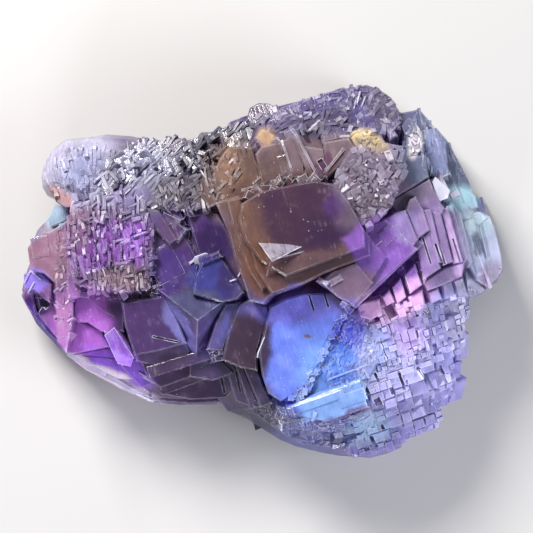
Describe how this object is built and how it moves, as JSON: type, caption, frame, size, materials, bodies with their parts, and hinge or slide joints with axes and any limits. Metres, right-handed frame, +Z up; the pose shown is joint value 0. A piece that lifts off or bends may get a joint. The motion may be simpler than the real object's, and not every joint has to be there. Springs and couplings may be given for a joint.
{
  "type": "fluorite cube cluster",
  "caption": "Cluster of intergrown stepped fluorite cubes with a mosaic-stepped dome and a twin corner, lying flat on its broken root.",
  "frame": {"origin": "on the flat broken root it rests on, under the middle of the cluster's bounding box", "axes": "+Z up from the root to the show side, +X along the length of the cluster towards its pale side prisms, +Y towards the dark etched ridge"},
  "size_m": [0.0803, 0.0624, 0.0378],
  "materials": {
    "fluorite_cluster": "clear violet crystal, bright cube faces with etched satin patches, zoned amber, violet and blue"
  },
  "bodies": {
    "root": {"fluorite_cluster": "fluorite_cluster"}
  },
  "joints": []
}
